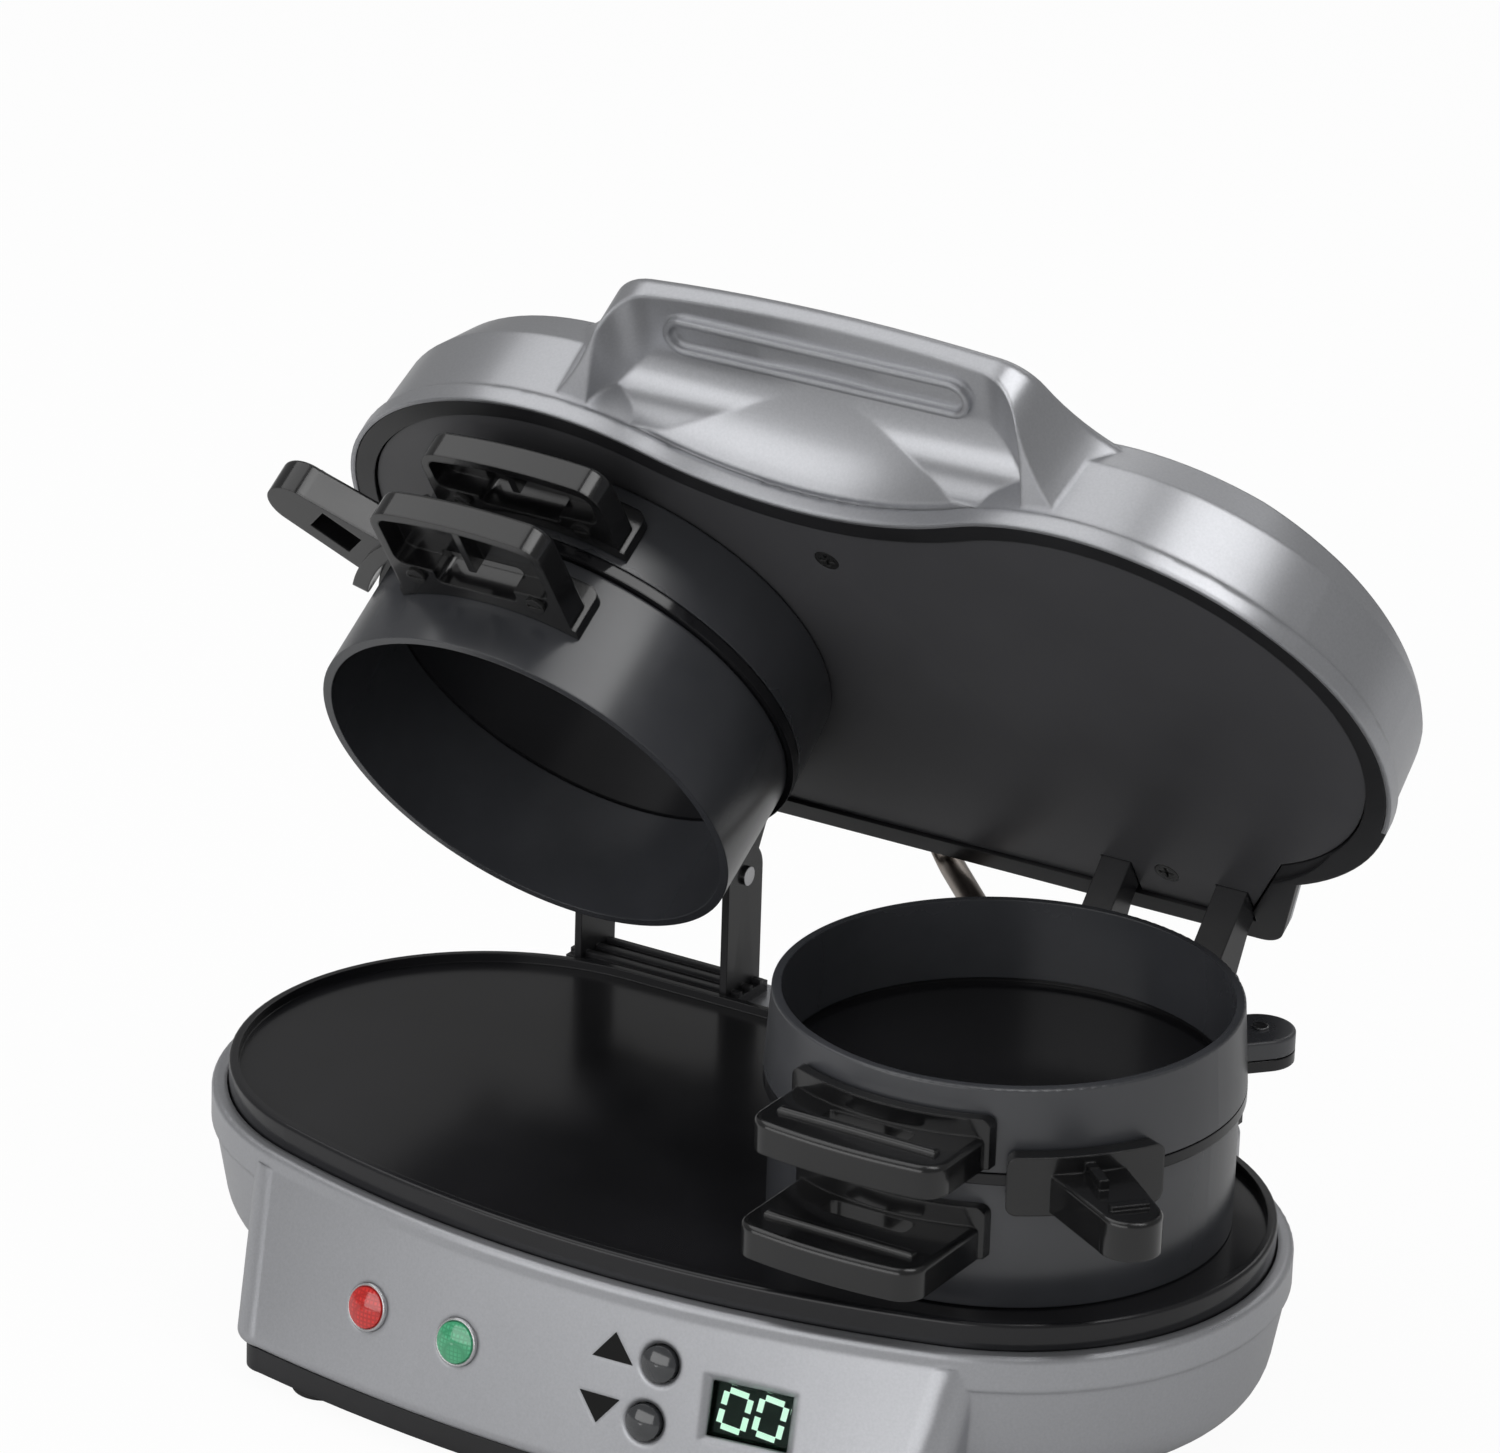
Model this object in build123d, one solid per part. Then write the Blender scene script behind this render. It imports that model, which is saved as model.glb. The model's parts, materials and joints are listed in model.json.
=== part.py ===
from build123d import *
import math
import os

# Breakfast sandwich maker, two rings side by side, lid and left rings lifted.
# Millimetres.  Everything is drawn with z = 0 at the cooking surface of the
# bottom plate, x = 0 midway between the rings and y = 0 through the ring
# centres.  At export it moves up by DECK, so z = 0 is the counter, and forward
# by MIDDLE_Y, so the origin stands under the middle of the whole part.

# ---- driving dimensions -------------------------------------------------
DECK = 58.0            # counter to cooking surface
MIDDLE_Y = 5.7         # middle of the part's depth, lid open
OPEN_ANGLE = 56.0      # lid and left rings, lifted from the closed position
GAP = 0.4              # clearance between pieces that move past each other
RUN = 0.05             # radial running clearance on pins

RING_X = 70.0          # ring centre from the middle
RIM_R = 56.0           # outer radius at the upper ring's rim
SEAM_R = 57.4          # outer radius where upper ring and cooking plate meet
LOWER_R = 55.7         # outer radius of the lower ring
WALL = 2.3             # ring wall
SEAM_Z = 35.2          # top of the cooking plate
RING_TOP = 56.2        # rim of the upper ring
PLATE_T = 2.8          # cooking plate rim height

HINGE_Y = 71.0
HINGE_Z = 32.0
ROD_R = 2.5
KNUCKLE_R = 6.0

END_X, END_Y, END_R = 72.5, -2.5, 65.3     # plan of the bottom plate: end arcs
FRONT_Y = -79.0                            # and the front arc's middle
RIM_OUT = 4.2          # silver rim beyond the plate
RIM_TOP = -4.2
RIM_LOW = -14.0
BOWL_LOW = -43.0
BOWL_TAPER = 10.0      # lean of the bowl's wall, degrees
BOWL_ROUND = 16.0
SHELL = 2.6            # moulded wall
LIP = 2.4              # raised edge of the bottom plate

PANEL_TOP = -8.0
PANEL_LOW = -49.5
PANEL_FRONT = -92.8    # middle of the panel's lower edge
PANEL_R = 467.0        # plan radius of that edge
PANEL_HALF = 96.5      # half width of the front block's lower edge
PANEL_TOP_HALF = 101.5
PANEL_LIP = 2.5        # rounding of that edge
SKIRT_LOW = -56.0

REAR_Y = 84.0          # back of the hinge block
REAR_HALF = 96.0
REAR_TOP = -2.0

LID_EDGE = 55.5        # lower edge of the lid shell, closed
LID_TOP = 88.8         # top, at its front
LID_PEAK_Y = -62.0     # from here the top slopes down to the back
LID_SLOPE = 8.5
CREASE_Z = 79.0        # crease where the side turns into the crown
LIP_TOP = 61.0         # upper edge of the rolled lip
LOBE = (73.0, -6.0, 73.5)
LID_END_R = 60.0
LID_CORNER_R = 70.0    # rear corners of the lid's plan
WAIST_Y = -63.5
LID_REAR_Y = 77.0
LID_REAR_HALF = 88.0
LID_REAR_R = 8.0
HANDLE_FRONT = -102.0
HANDLE_TOP = 88.0

# hinge stack, |x| from the middle outwards
POST_IN = (45.6, 47.6)
ARM_IN = (48.0, 56.0)
LOW_KNUCKLES = ((56.5, 62.2), (73.8, 79.5))
UP_KNUCKLE = (62.7, 73.3)
ARM_OUT = (80.0, 88.5)
POST_OUT = (89.0, 91.0)

PIVOT_ANGLE = 48.0     # cooking plate pivot, from +X about the ring centre
PIVOT_DIST = 64.0
EAR_R = 8.5
PIVOT_R = 2.0
GRIP_ANGLE = -42.0     # cooking plate lever, from +X about the ring centre
LOW_PADDLE = (-85.0, 22.0, 8.0, 24.3)  # ring handles: front, top, thickness, half width
UP_PADDLE = (-78.5, 45.6, 8.0, 25.5)
PADDLE_BOW = 2.2       # bow of their front edge
PADDLE_SCREW = (17.0, -61.0)

# control panel, x and z on its outer surface
LAMP_SPOTS = ((-54.3, -28.2), (-26.8, -28.3))
LENS_R = 5.0
BEZEL_R = 5.9
UP_KEY, DOWN_KEY = (28.2, -19.2), (26.5, -33.4)     # x and z on the panel
KEY_R = 4.4
UP_MARK, DOWN_MARK = (15.9, -17.9), (14.0, -33.2)
MARK_HALF, MARK_TALL = 5.4, 6.8
MARK_DEPTH = 0.25
WINDOW = (51.9, -26.6, 20.0, 13.0)     # x, z, width, height
BOARD = (-71.5, -28.5, -13.0)          # y, z, tilt of the circuit board

# underside, back and heaters
PAN_LOW = -53.0
PAN_INSET = -26.5
FLANGE_INSET = -15.5
MOUTH_INSET = -20.0
FOOT_R = 8.0
FOOT_SPOTS = ((72.0, -76.0, SKIRT_LOW), (84.0, 30.0, PAN_LOW))
COVER_SCREWS = ((END_X + 43.3, END_Y), (60.0, 41.0))
GLAND_R = 6.0
GLAND_BORE = 3.4
GLAND_SPOT = (-60.0, REAR_Y, -26.0)
ELEMENT_R = 38.0
TUBE_R = 3.2
UNDERSIDE = -4.0                       # lower face of the bottom plate's web
TOP_PLATE_IN = -7.0                    # top plate's outline inside the silver edge
TOP_UNDERSIDE = RING_TOP + 3.4
PLATE_SCREWS = ((0.0, -43.0), (66.0, 59.0), (-66.0, 59.0))
FRAME_LIP = 1.2                        # silver left showing outside the black frame
FRAME_OUT_Y = 14.0                     # behind this the frame is the outer edge

# finger space under the lid handle and the wiring tube
SCOOP_R = 38.0
SCOOP_Y, SCOOP_Z = -98.0, 42.5
SCOOP_HALF = 57.0
GRIP_Y, GRIP_Z, GRIP_TILT = -90.0, 79.2, -14.0     # a point and tilt of its underside
POCKET_HALF, POCKET_BACK, POCKET_ROUND = 60.0, -70.0, 15.0
HANDLE_CUT = ((-102.0, 79.0), (-74.0, 60.0))   # y, z along the posts' front
CONDUIT_R = 3.3
CONDUIT_BEND = 6.0
CONDUIT_X, CONDUIT_OUT = -6.3, 85.0    # where the tube leaves the lid's back
CONDUIT_FOOT, CONDUIT_END = 27.5, 40.6 # where it reaches and ends on the axis
BUSH = (31.5, 42.0)
WIRE_X = 36.5          # where the lid's wires come down into the base

POST_HALF = 8.0        # hinge plate, half its depth and its top radius
FOOT_T = 3.0           # hinge bracket foot
POST_EDGE = 2.5        # foot beyond the plates

os.makedirs("parts", exist_ok=True)


# ---- small helpers ------------------------------------------------------
def save(node, shape):
    """Write one node in the part's frame."""
    solids = (Pos(0, -MIDDLE_Y, DECK) * shape).solids()
    export_step(solids[0] if len(solids) == 1 else Compound(children=solids),
                f"parts/{node}.step")


def lifted(shape):
    """Turn a closed-position shape up about the hinge to the open position."""
    return (Pos(0, HINGE_Y, HINGE_Z) * Rot(-OPEN_ANGLE, 0, 0)
            * Pos(0, -HINGE_Y, -HINGE_Z) * shape)


def flipped(shape):
    return mirror(shape, about=Plane.YZ)


def both(shape):
    return shape + flipped(shape)


def slab(face, low, high):
    """Extrude a plan face between two heights."""
    return Pos(0, 0, low) * extrude(face, high - low)


def tube(radius_out, radius_in, low, high, x=0.0, y=0.0):
    height = high - low
    middle = Pos(x, y, (low + high) / 2)
    return middle * (Cylinder(radius_out, height) - Cylinder(radius_in, 2 * height))


def drum(radius, low, high, x=0.0, y=0.0):
    return Pos(x, y, (low + high) / 2) * Cylinder(radius, high - low)


def along_x(radius, x_low, x_high, y=HINGE_Y, z=HINGE_Z):
    bar = Rot(0, 90, 0) * Cylinder(radius, x_high - x_low)
    return Pos((x_low + x_high) / 2, y, z) * bar


def brick(x, y, z):
    """Box from three (low, high) pairs."""
    size = [pair[1] - pair[0] for pair in (x, y, z)]
    middle = [(pair[1] + pair[0]) / 2 for pair in (x, y, z)]
    return Pos(*middle) * Box(*size)


def around(x, y, radius, degrees):
    turn = math.radians(degrees)
    return (x + radius * math.cos(turn), y + radius * math.sin(turn))


# ---- plan outlines ------------------------------------------------------
def front_radius():
    """Radius of the front arc that meets both end arcs smoothly."""
    rise = END_Y - FRONT_Y
    return (END_X ** 2 + rise ** 2 - END_R ** 2) / (2 * (rise - END_R))


def front_angle():
    """Angle of the meeting point, seen from the front arc's centre."""
    centre_y = FRONT_Y + front_radius()
    return math.atan2(END_Y - centre_y, END_X)


def base_plan(offset, rear=None):
    """Plan of the bottom plate, grown by offset."""
    radius = front_radius() + offset
    centre_y = FRONT_Y + front_radius()
    meet = (radius * math.cos(front_angle()),
            centre_y + radius * math.sin(front_angle()))
    back = END_Y + END_R + offset
    right = (END_X, back)
    outline = [
        ThreePointArc((-meet[0], meet[1]), (0, FRONT_Y - offset), meet),
        ThreePointArc(meet, (END_X + END_R + offset, END_Y), right),
        Line(right, (-END_X, back)),
        ThreePointArc((-END_X, back), (-END_X - END_R - offset, END_Y),
                      (-meet[0], meet[1])),
    ]
    return make_face(outline)


def block_plan(inset, front, radius, half, corner):
    """Plan of the control block at one height: front arc, corners, sides."""
    centre_y = front + radius
    arc_r = radius - inset
    reach = half - corner
    side = half - inset
    arc_end = centre_y - math.sqrt(arc_r ** 2 - reach ** 2)
    turn = (reach + (corner - inset) * math.sin(math.radians(45)),
            arc_end + (corner - inset) * (1 - math.cos(math.radians(45))))
    low = (side, arc_end + corner - inset)
    back = -30.0
    outline = [
        ThreePointArc((-reach, arc_end), (0, front + inset), (reach, arc_end)),
        ThreePointArc((reach, arc_end), turn, low),
        Line(low, (side, back)),
        Line((side, back), (-side, back)),
        Line((-side, back), (-low[0], low[1])),
        ThreePointArc((-low[0], low[1]), (-turn[0], turn[1]), (-reach, arc_end)),
    ]
    return make_face(outline)


def control_block(inset, low, high):
    """The front block between two heights of its straight-sided form."""
    top_front = FRONT_Y - RIM_OUT
    top = Pos(0, 0, PANEL_TOP) * block_plan(inset, top_front,
                                            front_radius() + RIM_OUT, PANEL_TOP_HALF, 9.0)
    bottom = Pos(0, 0, PANEL_LOW) * block_plan(inset, PANEL_FRONT, PANEL_R,
                                               PANEL_HALF, 9.0)
    body = loft([bottom, top], ruled=True)
    keep = brick((-PANEL_TOP_HALF, PANEL_TOP_HALF), (-120, 0), (low, high))
    return body & keep


def lid_plan(offset):
    """Plan of the lid's silver edge, grown by offset."""
    lobe_x, lobe_y, lobe_r = LOBE
    drop = lobe_y - WAIST_Y
    waist_r = (lobe_x ** 2 + drop ** 2 - lobe_r ** 2) / (2 * (lobe_r - drop))
    waist_y = WAIST_Y - waist_r
    span = math.hypot(lobe_x, lobe_y - waist_y)
    meet = (lobe_x - (lobe_r + offset) * lobe_x / span,
            lobe_y - (lobe_r + offset) * (lobe_y - waist_y) / span)
    shoulder = around(lobe_x, lobe_y, lobe_r + offset, -40)
    end_x, end_y = around(lobe_x, lobe_y, lobe_r - LID_END_R, -40)
    end_r = LID_END_R + offset
    outer = around(end_x, end_y, end_r, -18)
    side_point = (end_x + end_r, end_y)
    corner_x = end_x + LID_END_R - LID_CORNER_R
    corner = around(corner_x, end_y, LID_CORNER_R + offset, 32)
    last = around(corner_x, end_y, LID_CORNER_R + offset, 63)
    half = LID_REAR_HALF + offset
    back = LID_REAR_Y + offset
    low_side = around(half, back - LID_REAR_R, LID_REAR_R, 22)
    turn = around(half, back - LID_REAR_R, LID_REAR_R, 56)
    lobe_low = around(lobe_x, lobe_y, lobe_r + offset, -80)

    def side(sign):
        return [
            ThreePointArc((sign * meet[0], meet[1]), (sign * lobe_low[0], lobe_low[1]),
                          (sign * shoulder[0], shoulder[1])),
            ThreePointArc((sign * shoulder[0], shoulder[1]), (sign * outer[0], outer[1]),
                          (sign * side_point[0], side_point[1])),
            ThreePointArc((sign * side_point[0], side_point[1]),
                          (sign * corner[0], corner[1]), (sign * last[0], last[1])),
            Line((sign * last[0], last[1]), (sign * low_side[0], low_side[1])),
            ThreePointArc((sign * low_side[0], low_side[1]), (sign * turn[0], turn[1]),
                          (sign * half, back)),
        ]
    outline = side(1) + side(-1) + [
        Line((half, back), (-half, back)),
        ThreePointArc((-meet[0], meet[1]), (0, WAIST_Y - offset), meet),
    ]
    return make_face(outline)


def handle_plan():
    """Plan of the lid handle: bowed front edge, ends flaring back to the sides."""
    tip, knee, root, back = (48.0, -99.0), (59.0, -91.0), (75.0, -73.0), -45.0
    front = ThreePointArc((-tip[0], tip[1]), (0, HANDLE_FRONT), tip)
    corner = TangentArc(tip, knee, tangent=front % 1)
    flare = TangentArc(knee, root, tangent=corner % 1)
    side = Line(root, (root[0], back))
    half = [corner, flare, side]
    rear = Line((root[0], back), (-root[0], back))
    return make_face([front, rear] + half + [flipped(edge) for edge in half])


# ---- control panel surface ----------------------------------------------
def panel_y(x, z):
    """Where the panel's outer surface stands at x and z."""
    upper_r = front_radius() + RIM_OUT
    upper = FRONT_Y - RIM_OUT + upper_r - math.sqrt(upper_r ** 2 - x ** 2)
    lower = PANEL_FRONT + PANEL_R - math.sqrt(PANEL_R ** 2 - x ** 2)
    share = (z - PANEL_LOW) / (PANEL_TOP - PANEL_LOW)
    return lower + (upper - lower) * share


def panel_frame(x, z):
    """Local frame on the panel: its z points out, its y up the panel."""
    step = 0.5
    slope_x = (panel_y(x + step, z) - panel_y(x - step, z)) / (2 * step)
    slope_z = (panel_y(x, z + step) - panel_y(x, z - step)) / (2 * step)
    out = Vector(slope_x, -1, slope_z).normalized()
    return Plane(origin=(x, panel_y(x, z), z), x_dir=(1, slope_x, 0), z_dir=out)


def on_panel(x, z, shape):
    return panel_frame(x, z).location * shape


# ---- base ---------------------------------------------------------------
def rear_block(inset, low, high):
    half = REAR_HALF - inset
    block = brick((-half, half), (30.0, REAR_Y - inset), (low, high))
    corners = block.edges().filter_by(Axis.Z).sort_by(Axis.Y)[-2:]
    return fillet(corners, 14.0 - inset)


def bowl(inset, low):
    """Rounded body under the rim, leaning in towards the bottom."""
    top = RIM_LOW + 2.0
    side = extrude(base_plan(RIM_OUT - 0.6 - inset), top - low, taper=BOWL_TAPER)
    side = Pos(0, 0, top) * mirror(side, about=Plane.XY)
    return fillet(side.edges().group_by(Axis.Z)[0], BOWL_ROUND - inset)


def base_housing():
    rim = slab(base_plan(RIM_OUT), RIM_LOW, RIM_TOP)
    rim = chamfer(rim.edges().group_by(Axis.Z)[0], 1.2)
    rim = fillet(rim.edges().group_by(Axis.Z)[-1], 1.4)
    rear = rear_block(0.0, BOWL_LOW, REAR_TOP)
    rear = chamfer(rear.edges().group_by(Axis.Z)[0], 4.0)
    rear = fillet(rear.edges().group_by(Axis.Z)[-1].sort_by(Axis.Y)[1:], 2.0)
    block = control_block(0.0, PANEL_LOW, PANEL_TOP)
    block = fillet(block.edges().group_by(Axis.Z)[0].sort_by(Axis.Y)[:-1], PANEL_LIP)
    body = bowl(0.0, BOWL_LOW) + rim + rear + block
    well = slab(base_plan(GAP), RIM_TOP - 3.6, 20.0)
    throat = slab(base_plan(RIM_OUT - 0.6 - SHELL - 1.0), RIM_LOW, 0.0)
    mouth = slab(base_plan(MOUTH_INSET), -70.0, BOWL_LOW + 10)
    front = control_block(SHELL, PANEL_LOW - 1, PANEL_TOP - 4)
    rear_hollow = rear_block(SHELL, BOWL_LOW + 4, REAR_TOP - SHELL)
    body = body - well - throat - bowl(SHELL, BOWL_LOW + SHELL) - mouth - front - rear_hollow
    for x, y in COVER_SCREWS:
        body += both(drum(4.5, BOWL_LOW, BOWL_LOW + 20, x, y))
        body -= both(drum(1.4, BOWL_LOW - 1, BOWL_LOW + 14, x, y))
    body -= Pos(*GLAND_SPOT) * Rot(90, 0, 0) * Cylinder(GLAND_R, 20)
    body -= drum(3.2, -10.0, 5.0, WIRE_X, HINGE_Y)
    return panel_cuts(body)


def panel_cuts(body):
    for x, z in LAMP_SPOTS:
        body -= on_panel(x, z, Cylinder(LENS_R + 0.2, 14))
        body -= on_panel(x, z, Pos(0, 0, 1) * Cylinder(BEZEL_R + 0.1, 3.2))
    for spot in (UP_KEY, DOWN_KEY):
        body -= on_panel(*spot, Cylinder(KEY_R + GAP, 14))
        body -= on_panel(*spot, Pos(0, 0, 7.4) * Sphere(9.4))
    for mark in mark_outlines():
        body -= mark
    x, z, width, height = WINDOW
    body -= on_panel(x, z, Box(width + 0.4, height + 0.4, 14))
    flare = loft([Pos(0, 0, -1.6) * Rectangle(width + 0.4, height + 0.4).face(),
                  Pos(0, 0, 1.4) * Rectangle(width + 8.6, height + 7).face()])
    return body - on_panel(x, z, flare)


def bottom_cover():
    """Black pan closing the underside, with the skirt under the panel."""
    top = BOWL_LOW - GAP
    pan = slab(base_plan(PAN_INSET), PAN_LOW, top)
    pan = fillet(pan.edges().group_by(Axis.Z)[0], 3.0)
    flange = slab(base_plan(FLANGE_INSET), top - 2.4, top)
    flange -= brick((-PANEL_HALF - GAP, PANEL_HALF + GAP), (-120, -30 + GAP), (-60, 0))
    skirt = slab(block_plan(PANEL_LIP, PANEL_FRONT, PANEL_R, PANEL_HALF, 9.0),
                 SKIRT_LOW, PANEL_LOW - 0.2)
    hollow = slab(base_plan(PAN_INSET - SHELL), PAN_LOW + SHELL, 0.0)
    front = slab(block_plan(PANEL_LIP + SHELL, PANEL_FRONT, PANEL_R, PANEL_HALF, 9.0),
                 SKIRT_LOW + SHELL, 0.0)
    walls = brick((PANEL_HALF - SHELL - 1.0, PANEL_HALF + 1.4), (-120, -30 + GAP),
                  (PANEL_LOW - 0.2, 0))
    cover = pan + flange + skirt - hollow - front - both(walls)
    for x, y in COVER_SCREWS:
        cover -= both(drum(1.7, -60, 0, x, y))
    return cover


def rubber_feet():
    feet = []
    for x, y, top in FOOT_SPOTS:
        foot = drum(FOOT_R, -DECK, top, x, y)
        foot = fillet(foot.edges().group_by(Axis.Z)[0], 0.8)
        feet += [foot, flipped(foot)]
    return Compound(children=feet)


def bottom_plate():
    plate = slab(base_plan(0.0), RIM_TOP - 3.6, LIP)
    plate = fillet(plate.edges().group_by(Axis.Z)[-1], 1.0)
    plate -= slab(base_plan(-2.4), 0.0, LIP + 1)
    plate -= slab(base_plan(-9.0), RIM_TOP - 5.0, UNDERSIDE)
    return plate


def ring_element(radius, z, x):
    """Tubular heater bent to an open ring, its two cold ends turned down."""
    loop = CenterArc((0, 0, 0), radius, 100, 340)
    coil = sweep(Plane(origin=loop @ 0, z_dir=loop % 0) * Circle(TUBE_R), loop)
    for end in (0, 1):
        spot = loop @ end
        coil += Pos(spot.X, spot.Y, -6.0) * Cylinder(2.6, 12.0)
    return Pos(x, 0, z) * coil


def bottom_element():
    heater = ring_element(ELEMENT_R, UNDERSIDE - TUBE_R - 0.1, RING_X)
    return Compound(children=[heater, flipped(heater)])


def thermostat():
    body = drum(8.0, -15.0, -5.0) + drum(5.5, -5.0, UNDERSIDE - 0.1)
    body += brick((-14, 14), (-4, 4), (-7.0, -5.6))
    body += both(brick((3.0, 4.0), (-3, 3), (-21.0, -14.0)))
    return body


def thermal_fuse():
    height = UNDERSIDE - 2.4
    lead = along_x(0.6, -19.0, 19.0, 22.0, height)
    return along_x(2.2, -7.0, 7.0, 22.0, height) + lead


def terminal_block():
    block = brick((-22, 22), (44, 58), (-38.0, -26.0))
    for place in range(4):
        block -= drum(1.8, -30.0, -20.0, -15.0 + 10.0 * place, 51.0)
    return block + both(brick((22, 28), (48, 54), (-38.0, -34.0)))


def on_board(shape):
    y, z, tilt = BOARD
    return Pos(0, y, z) * Rot(tilt, 0, 0) * shape


def control_board():
    board = on_board(Box(128, 1.6, 27))
    for x in (-58, 58):
        board -= on_board(Pos(x, 0, 10) * Rot(90, 0, 0) * Cylinder(1.6, 10))
    return board


def board_parts():
    """Relay and transformer standing on the back of the board."""
    relay = on_board(Pos(-12, 7.2, 2) * Box(19, 12.6, 16))
    transformer = on_board(Pos(22, 8.2, 1) * Box(24, 14.6, 20))
    return Compound(children=[relay, transformer])


def indicator_lamps():
    lamps = []
    for x, z in LAMP_SPOTS:
        lamp = Cylinder(2.4, 6.0) + Pos(0, 0, 3.0) * Sphere(2.4)
        lamps.append(on_panel(x, z, Pos(0, 0, -7.0) * lamp))
    return Compound(children=lamps)


def lens(spot):
    """Domed indicator lens with a stem behind the panel."""
    dome = Pos(0, 0, -10.2) * Sphere(12.6)
    body = (Pos(0, 0, 0) * Cylinder(LENS_R, 9.6)) & dome
    body -= Pos(0, 0, -4.2) * Cylinder(LENS_R - 1.4, 6.0)
    return on_panel(*spot, body)


def lens_bezels():
    rings = []
    for spot in LAMP_SPOTS:
        ring = Cylinder(BEZEL_R, 1.4) - Cylinder(LENS_R + 0.1, 4)
        ring = fillet(ring.edges().group_by(Axis.Z)[-1], 0.35)
        rings.append(on_panel(*spot, Pos(0, 0, 0.3) * ring))
    return Compound(children=rings)


def button(spot):
    """Domed key with a stem to its switch and a collar behind the panel."""
    cap = Cylinder(KEY_R, 8.4) & (Pos(0, 0, -6.6) * Sphere(8.6))
    collar = Pos(0, 0, -3.8) * Cylinder(KEY_R + 1.3, 1.2)
    stem = Pos(0, 0, -5.8) * Cylinder(1.8, 4.0)
    return on_panel(*spot, cap + collar + stem)


def key_switches():
    switches = []
    for spot in (UP_KEY, DOWN_KEY):
        body = Pos(0, 0, -11.7) * Box(6, 6, 3.8)
        body += Pos(0, 0, -9.55) * Cylinder(1.6, 0.9)
        switches.append(on_panel(*spot, body))
    return Compound(children=switches)


def mark_outlines():
    """Triangles beside the keys, up above and down below, let into the panel."""
    marks = []
    for spot, point in ((UP_MARK, 1), (DOWN_MARK, -1)):
        rise = point * MARK_TALL / 2
        outline = Polyline((-MARK_HALF, -rise), (MARK_HALF, -rise), (0, rise), close=True)
        mark = Pos(0, 0, -MARK_DEPTH) * extrude(make_face(outline), MARK_DEPTH + 0.1)
        marks.append(on_panel(*spot, mark))
    return marks


def arrow_marks():
    return Compound(children=mark_outlines())


def display_window():
    x, z, width, height = WINDOW
    return on_panel(x, z, Pos(0, 0, -2.2) * Box(width, height, 1.6))


def display_module():
    """Two-digit display: dark block with the lit bars standing on it."""
    x, z, width, height = WINDOW
    return on_panel(x, z, Pos(0, 0, -6.6) * Box(width - 0.8, height - 0.8, 6.0))


def seven_segments():
    """Lit bars of two zeros on the module's face, behind the window."""
    x, z, _, _ = WINDOW
    tall, wide, bar, lean = 8.9, 6.2, 1.4, -8
    bars = []
    for middle in (-4.5, 4.5):
        digit = []
        for row in (-1, 1):
            digit.append(Pos(0, row * tall / 2, 0) * Box(wide - 1.5, bar, 0.3))
            for side in (-1, 1):
                upright = Box(bar, tall / 2 - 1.3, 0.3)
                digit.append(Pos(side * wide / 2, row * tall / 4, 0) * upright)
        for piece in digit:
            placed = Pos(middle, 0, -3.45) * Rot(0, 0, lean) * piece
            bars.append(on_panel(x, z, placed))
    return Compound(children=bars)


def cord_gland():
    """Bush in the back wall where the supply cord would enter."""
    outer = Cylinder(GLAND_R - 0.1, 10) + Pos(0, 0, 3.5) * Cylinder(GLAND_R + 2, 3)
    outer += Pos(0, 0, -2.6) * Cylinder(GLAND_R + 1.2, 2.0)
    outer -= Cylinder(GLAND_BORE, 40)
    x, y, z = GLAND_SPOT
    return Pos(x, y - SHELL / 2, z) * Rot(-90, 0, 0) * outer


# ---- hinge --------------------------------------------------------------
def post(span):
    """Upright hinge plate with a rounded top about the hinge axis."""
    plate = brick(span, (HINGE_Y - POST_HALF, HINGE_Y + POST_HALF), (REAR_TOP, HINGE_Z))
    plate += along_x(POST_HALF, *span)
    return plate - along_x(ROD_R, span[0] - 1, span[1] + 1)


def hinge_bracket():
    """Two upright plates joined by a foot on the hinge block."""
    bracket = post(POST_IN) + post(POST_OUT)
    width = (POST_IN[0] - POST_EDGE, POST_OUT[1] + POST_EDGE)
    top = REAR_TOP + FOOT_T
    bracket += brick(width, (HINGE_Y - POST_HALF, HINGE_Y + POST_HALF), (REAR_TOP, top))
    for y in (HINGE_Y - 5.0, HINGE_Y, HINGE_Y + 5.0):
        bracket += brick(width, (y - 0.8, y + 0.8), (top, top + 1.2))
    return bracket


def hinge_rod():
    return along_x(ROD_R, POST_IN[0] - 1.0, POST_OUT[1] + 1.0)


def lid_arm(span):
    """Arm from the lid's underside down to the hinge rod, closed position."""
    low, high = span
    top = 63.0
    outline = Polyline((58.6, top), (58.6, 56.5), (HINGE_Y - 7.0, HINGE_Z + 2),
                       (HINGE_Y + 7.0, HINGE_Z + 2), (68.5, 52.0), (66.5, top),
                       close=True)
    side = Plane(origin=(low, 0, 0), x_dir=(0, 1, 0), z_dir=(1, 0, 0))
    arm = extrude(side * make_face(outline), high - low)
    arm += along_x(7.0, low, high)
    return arm - along_x(ROD_R + RUN, low - 5, high + 5)


def lid_arms():
    arms = [lid_arm(ARM_IN), lid_arm(ARM_OUT)]
    return Compound(children=[lifted(arm) for arm in arms + [flipped(a) for a in arms]])


# ---- lid ----------------------------------------------------------------
def lid_dome(inset):
    """Leaning sides and crown of the lid, or its hollow when inset."""
    low = LID_EDGE + 3
    sides = Pos(0, 0, low) * extrude(lid_plan(-1.0 - inset), CREASE_Z - low, taper=4)
    rim = sides.faces().sort_by(Axis.Z)[-1]
    return sides + extrude(rim, LID_TOP - CREASE_Z, taper=28)


def above_lid(inset):
    """Everything over the lid's top, which slopes down to the back."""
    over = brick((-200, 200), (-200, 200), (0, 100))
    return Pos(0, LID_PEAK_Y, LID_TOP - inset) * Rot(-LID_SLOPE, 0, 0) * over


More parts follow.
